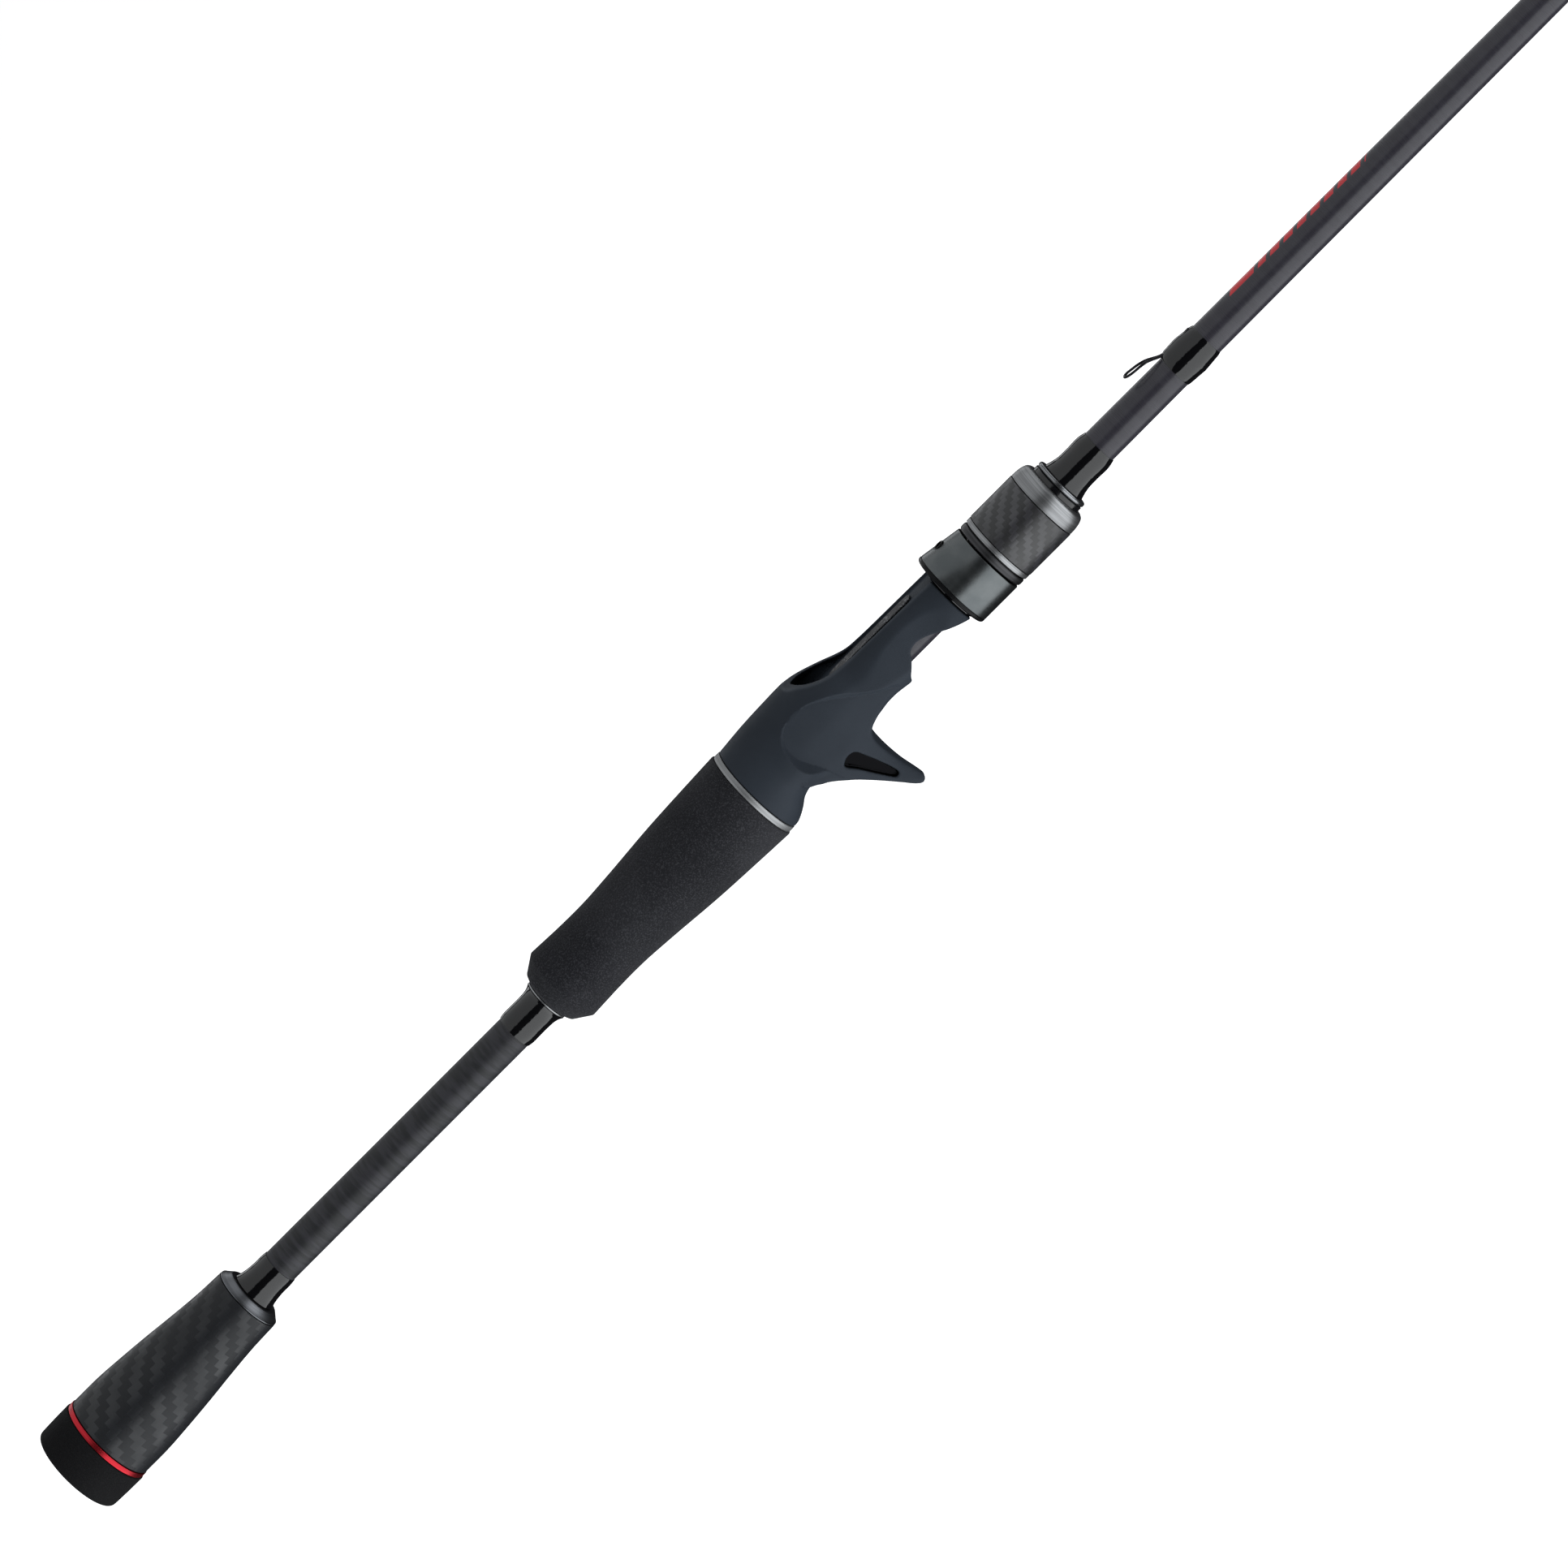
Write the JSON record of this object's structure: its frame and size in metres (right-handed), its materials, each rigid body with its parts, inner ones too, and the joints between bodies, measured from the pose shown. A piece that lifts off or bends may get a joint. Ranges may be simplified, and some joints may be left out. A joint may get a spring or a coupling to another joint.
{
  "type": "bait-casting fishing rod",
  "caption": "One-piece casting rod: tapered carbon blank with line guides, split foam grips, and a trigger reel seat with a sliding hood that a lock nut drives.",
  "frame": {"origin": "centre of the butt cap's flat end face", "axes": "+X along the rod to the tip, +Z towards the reel and the line guides, so the trigger points to -Z"},
  "size_m": [2.134, 0.0338, 0.0554],
  "materials": {
    "carbon_blank": "satin carbon tube, fine lines around it",
    "eva_foam": "matte fine-celled foam",
    "carbon_skin": "satin twill carbon",
    "red_anodised": "bright red anodised",
    "dark_metal": "dark satin",
    "grey_metal": "turned and brushed",
    "wrap_epoxy": "black thread under clear epoxy",
    "seat_plastic": "soft-touch, dark blue-grey",
    "black_plastic": "moulded",
    "arbor_composite": "plain",
    "hood_metal": "glossy dark plated",
    "guide_wire": "dark plated wire",
    "guide_ceramic": "polished"
  },
  "bodies": {
    "rod": {"blank": "carbon_blank", "butt_cap": "eva_foam", "rear_grip": "eva_foam", "butt_grip": "carbon_skin", "red_trim_ring": "red_anodised", "butt_grip_check": "dark_metal", "seat_trim_ring": "dark_metal", "tip_top_tube": "dark_metal", "rear_grip_check": "grey_metal", "seat_end_check": "grey_metal", "butt_grip_wrap": "wrap_epoxy", "rear_grip_wrap": "wrap_epoxy", "fore_wrap": "wrap_epoxy", "keeper_wrap": "wrap_epoxy", "tip_wrap": "wrap_epoxy", "guide_1_rear_wrap": "wrap_epoxy", "guide_2_rear_wrap": "wrap_epoxy", "guide_1_wrap": "wrap_epoxy", "guide_2_wrap": "wrap_epoxy", "guide_3_wrap": "wrap_epoxy", "guide_4_wrap": "wrap_epoxy", "guide_5_wrap": "wrap_epoxy", "guide_6_wrap": "wrap_epoxy", "guide_7_wrap": "wrap_epoxy", "guide_8_wrap": "wrap_epoxy", "reel_seat_body": "seat_plastic", "reel_foot_pad": "black_plastic", "rear_arbor": "arbor_composite", "front_arbor": "arbor_composite", "hook_keeper": "guide_wire", "tip_top_frame": "guide_wire", "guide_1_frame": "guide_wire", "guide_2_frame": "guide_wire", "guide_3_frame": "guide_wire", "guide_4_frame": "guide_wire", "guide_5_frame": "guide_wire", "guide_6_frame": "guide_wire", "guide_7_frame": "guide_wire", "guide_8_frame": "guide_wire", "tip_top_ring": "guide_ceramic", "guide_1_ring": "guide_ceramic", "guide_2_ring": "guide_ceramic", "guide_3_ring": "guide_ceramic", "guide_4_ring": "guide_ceramic", "guide_5_ring": "guide_ceramic", "guide_6_ring": "guide_ceramic", "guide_7_ring": "guide_ceramic", "guide_8_ring": "guide_ceramic"},
    "hood": {"sliding_hood": "hood_metal", "hood_liner": "black_plastic", "hood_peg": "black_plastic"},
    "lock_nut": {"nut_core": "black_plastic", "nut_rear_ring": "dark_metal", "nut_thin_ring": "grey_metal", "nut_carbon_sleeve": "carbon_skin", "nut_front_ring": "grey_metal"}
  },
  "joints": [
    {"name": "hood_slide", "type": "slide", "parent": "rod", "child": "hood", "axis": [-1, 0, 0], "range_m": [0, 0.014]},
    {"name": "nut_turn", "type": "hinge", "parent": "hood", "child": "lock_nut", "pos_m": [0.406, 0, 0], "axis": [-1, 0, 0], "range_deg": [0, 2520]}
  ],
  "couplings": [
    {"joint": "hood_slide", "follows": "nut_turn", "m_per_rad": 0.0003183}
  ]
}
